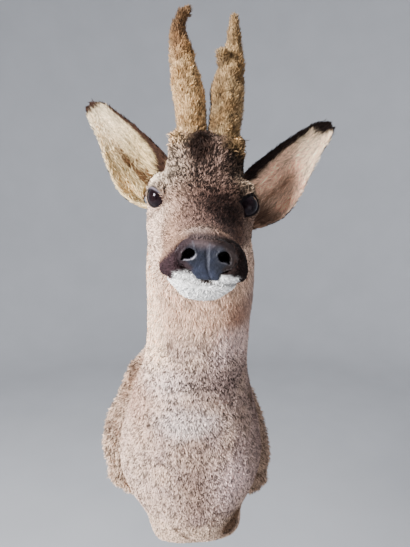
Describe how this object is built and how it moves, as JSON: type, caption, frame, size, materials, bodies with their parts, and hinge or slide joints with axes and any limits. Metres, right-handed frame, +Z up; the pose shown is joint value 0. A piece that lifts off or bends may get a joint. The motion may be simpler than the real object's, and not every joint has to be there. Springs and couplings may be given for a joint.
{
  "type": "roe deer shoulder mount",
  "caption": "Still, life-size shoulder mount of a roe buck in winter coat with antlers in velvet, ears out, on a plain plywood backboard for a wall.",
  "frame": {"origin": "rear face of the backboard, on the mount's centre line, 104 mm above its widest level", "axes": "+Z up, +X to the animal's left, +Y into the wall: the head faces -Y"},
  "size_m": [0.2952, 0.3939, 0.6928],
  "materials": {
    "coat": "speckled grey-brown winter fur",
    "chin_coat": "short white fur",
    "ear_coat": "cream hair inside, brown fur behind",
    "nose_leather": "damp-looking dark nose skin",
    "eye_glass": "glossy dark glass",
    "velvet": "short dense tan velvet",
    "plywood": "bare sanded plywood"
  },
  "bodies": {
    "root": {"head": "coat", "neck": "coat", "chest": "coat", "shoulder_left": "coat", "shoulder_right": "coat", "skin_hem": "coat", "lower_jaw": "chin_coat", "nose_pad": "nose_leather", "ear_left": "ear_coat", "ear_right": "ear_coat", "eye_left": "eye_glass", "eye_right": "eye_glass", "antler_right": "velvet", "antler_left_base": "velvet", "antler_left_beam": "velvet", "antler_left_tine": "velvet", "backboard": "plywood"}
  },
  "joints": []
}
